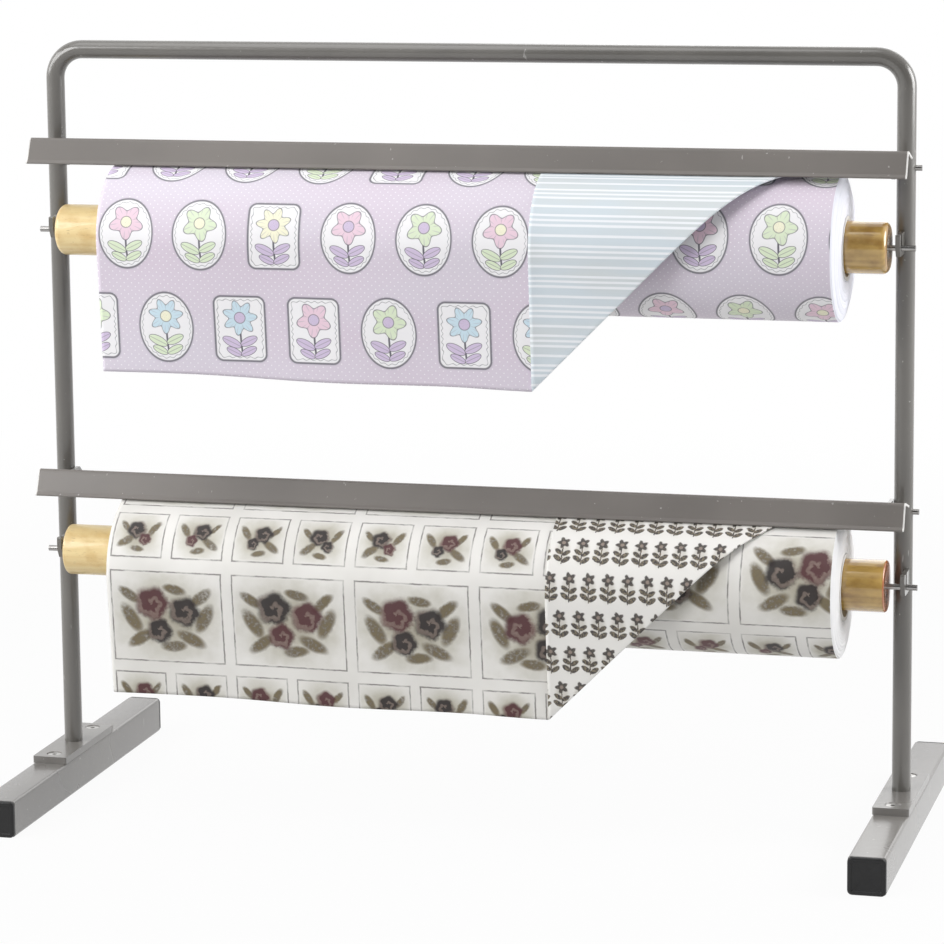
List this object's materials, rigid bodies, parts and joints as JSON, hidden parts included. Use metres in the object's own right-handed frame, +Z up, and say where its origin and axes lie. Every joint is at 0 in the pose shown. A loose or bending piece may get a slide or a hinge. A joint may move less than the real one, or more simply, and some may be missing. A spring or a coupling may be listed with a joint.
{
  "type": "gift wrap paper cutter",
  "caption": "Table-top stand that carries rolls of gift wrap on wooden rollers, each with a hinged cutter bar resting on the paper.",
  "frame": {"origin": "on the table, midway between the feet and halfway along them", "axes": "+Z up, +X along the rolls towards the right foot, -Y is the front where the paper hangs"},
  "size_m": [0.617, 0.298, 0.5283],
  "materials": {
    "frame_paint": "semi-gloss grey paint",
    "foot_paint": "glossy grey paint",
    "cutter_paint": "semi-gloss grey paint",
    "cap_plastic": "moulded black plastic",
    "screw_steel": "bright zinc",
    "pin_steel": "drawn steel",
    "dowel_wood": "varnished pine",
    "core_board": "grey-brown card tube",
    "paper_upper": "printed wrapping paper",
    "paper_lower": "printed wrapping paper"
  },
  "bodies": {
    "frame": {"frame_bar": "frame_paint", "left_base_plate": "frame_paint", "left_foot_tube": "foot_paint", "left_front_end_cap": "cap_plastic", "left_rear_end_cap": "cap_plastic", "left_foot_screws": "screw_steel", "left_rivet_nuts": "screw_steel", "right_base_plate": "frame_paint", "right_foot_tube": "foot_paint", "right_front_end_cap": "cap_plastic", "right_rear_end_cap": "cap_plastic", "right_foot_screws": "screw_steel", "right_rivet_nuts": "screw_steel", "upper_left_hook_plate": "frame_paint", "upper_right_hook_plate": "frame_paint", "upper_left_pivot_screw": "pin_steel", "upper_right_pivot_screw": "pin_steel", "lower_left_hook_plate": "frame_paint", "lower_right_hook_plate": "frame_paint", "lower_left_pivot_screw": "pin_steel", "lower_right_pivot_screw": "pin_steel"},
    "upper_cutter": {"upper_cutter_bar": "cutter_paint", "upper_left_cutter_arm": "cutter_paint", "upper_right_cutter_arm": "cutter_paint"},
    "upper_roller": {"upper_dowel": "dowel_wood", "upper_left_axle_pin": "pin_steel", "upper_right_axle_pin": "pin_steel"},
    "upper_paper": {"upper_paper_sheet": "paper_upper"},
    "upper_roll": {"upper_paper_core": "core_board", "upper_wound_paper": "paper_upper"},
    "lower_cutter": {"lower_cutter_bar": "cutter_paint", "lower_left_cutter_arm": "cutter_paint", "lower_right_cutter_arm": "cutter_paint"},
    "lower_roller": {"lower_dowel": "dowel_wood", "lower_left_axle_pin": "pin_steel", "lower_right_axle_pin": "pin_steel"},
    "lower_paper": {"lower_paper_sheet": "paper_lower"},
    "lower_roll": {"lower_paper_core": "core_board", "lower_wound_paper": "paper_lower"}
  },
  "joints": [
    {"name": "upper_cutter_swing", "type": "hinge", "parent": "frame", "child": "upper_cutter", "pos_m": [0, 0, 0.4495], "axis": [-1, 0, 0], "range_deg": [0, 40]},
    {"name": "upper_roll_shift", "type": "slide", "parent": "frame", "child": "upper_paper", "axis": [1, 0, 0], "range_m": [-0.04, 0.02]},
    {"name": "upper_roll_spin", "type": "hinge", "parent": "upper_paper", "child": "upper_roll", "pos_m": [0, -0.02, 0.398], "axis": [1, 0, 0], "continuous": true},
    {"name": "upper_roller_spin", "type": "hinge", "parent": "frame", "child": "upper_roller", "pos_m": [0, -0.02, 0.399], "axis": [1, 0, 0], "continuous": true},
    {"name": "lower_cutter_swing", "type": "hinge", "parent": "frame", "child": "lower_cutter", "pos_m": [0, 0, 0.2205], "axis": [-1, 0, 0], "range_deg": [0, 40]},
    {"name": "lower_roll_shift", "type": "slide", "parent": "frame", "child": "lower_paper", "axis": [1, 0, 0], "range_m": [-0.04, 0.02]},
    {"name": "lower_roll_spin", "type": "hinge", "parent": "lower_paper", "child": "lower_roll", "pos_m": [0, -0.02, 0.1715], "axis": [1, 0, 0], "continuous": true},
    {"name": "lower_roller_spin", "type": "hinge", "parent": "frame", "child": "lower_roller", "pos_m": [0, -0.02, 0.1735], "axis": [1, 0, 0], "continuous": true}
  ],
  "couplings": [
    {"joint": "upper_roller_spin", "follows": "upper_roll_spin", "ratio": 1.0743},
    {"joint": "lower_roller_spin", "follows": "lower_roll_spin", "ratio": 1.1314}
  ]
}
